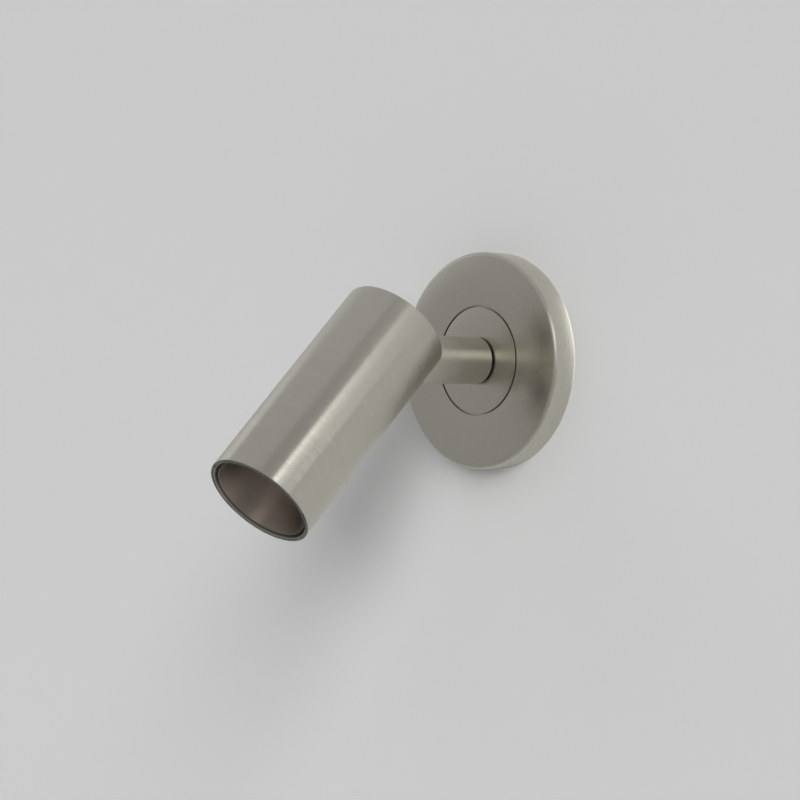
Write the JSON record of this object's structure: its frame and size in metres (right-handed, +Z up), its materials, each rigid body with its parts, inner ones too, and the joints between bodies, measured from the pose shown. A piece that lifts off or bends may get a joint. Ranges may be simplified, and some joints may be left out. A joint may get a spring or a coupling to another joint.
{
  "type": "wall light",
  "caption": "Tube head wall spot in brushed nickel: round wall plate, stem that swivels in its centre disc, and a tilting tube head with a recessed baffle.",
  "frame": {"origin": "centre of the round wall plate's back, on the wall", "axes": "+Y into the wall, so -Y is out of the wall; +Z up; +X to the right seen from the room"},
  "size_m": [0.11, 0.174, 0.143],
  "materials": {
    "brushed_nickel": "satin nickel with fine turned brush lines",
    "bronze_baffle": "smooth brown-grey anodised",
    "black_plastic": "matt",
    "white_plastic": "matt",
    "black_rubber": "matt",
    "lead_jacket": "silicone jacket",
    "earth_jacket": "silicone jacket",
    "brass": "machined",
    "bright_steel": "machined",
    "zinc_plate": "zinc plated",
    "ceramic": "unglazed steatite",
    "lamp_shell": "satin",
    "lamp_lens": "frosted"
  },
  "bodies": {
    "wall_unit": {"wall_plate": "brushed_nickel", "centre_disc": "brushed_nickel", "disc_ring_nut": "bright_steel", "swivel_bush": "black_plastic", "swivel_stop_pin": "bright_steel", "backplate": "zinc_plate", "plate_screws": "bright_steel", "cable_grommet": "black_rubber", "terminal_block": "white_plastic", "terminal_sleeves": "brass", "terminal_screws": "bright_steel", "terminal_block_screws": "bright_steel", "earth_lug": "brass", "earth_screw": "brass", "plate_leads": "lead_jacket", "earth_lead": "earth_jacket"},
    "stem": {"swivel_nipple": "brass", "swivel_tab_washer": "bright_steel", "swivel_spring_washer": "bright_steel", "swivel_nut": "brass", "stem_tube": "brushed_nickel", "stem_knuckle": "brushed_nickel", "knuckle_screw": "bright_steel", "stem_leads": "lead_jacket"},
    "head": {"head_tube": "brushed_nickel", "rear_cap": "brushed_nickel", "lamp_carrier": "zinc_plate", "carrier_screws": "brushed_nickel", "pivot_bolt": "bright_steel", "friction_washers": "white_plastic", "pivot_spring_washer": "bright_steel", "pivot_nut": "bright_steel", "lead_grommets": "black_rubber", "head_leads": "lead_jacket", "lamp_holder": "ceramic", "holder_contacts": "brass", "holder_screws": "bright_steel", "lamp_base": "white_plastic", "lamp_pins": "bright_steel", "lamp_body": "lamp_shell", "lamp_board": "white_plastic", "lamp_lens": "lamp_lens", "baffle": "bronze_baffle", "baffle_ring": "black_rubber"}
  },
  "joints": [
    {"name": "stem_swivel", "type": "hinge", "parent": "wall_unit", "child": "stem", "pos_m": [0, -0.0147, 0], "axis": [0, -1, 0], "range_deg": [-165, 165]},
    {"name": "head_tilt", "type": "hinge", "parent": "stem", "child": "head", "pos_m": [0, -0.086, 0], "axis": [1, 0, 0], "range_deg": [-45, 45]}
  ]
}
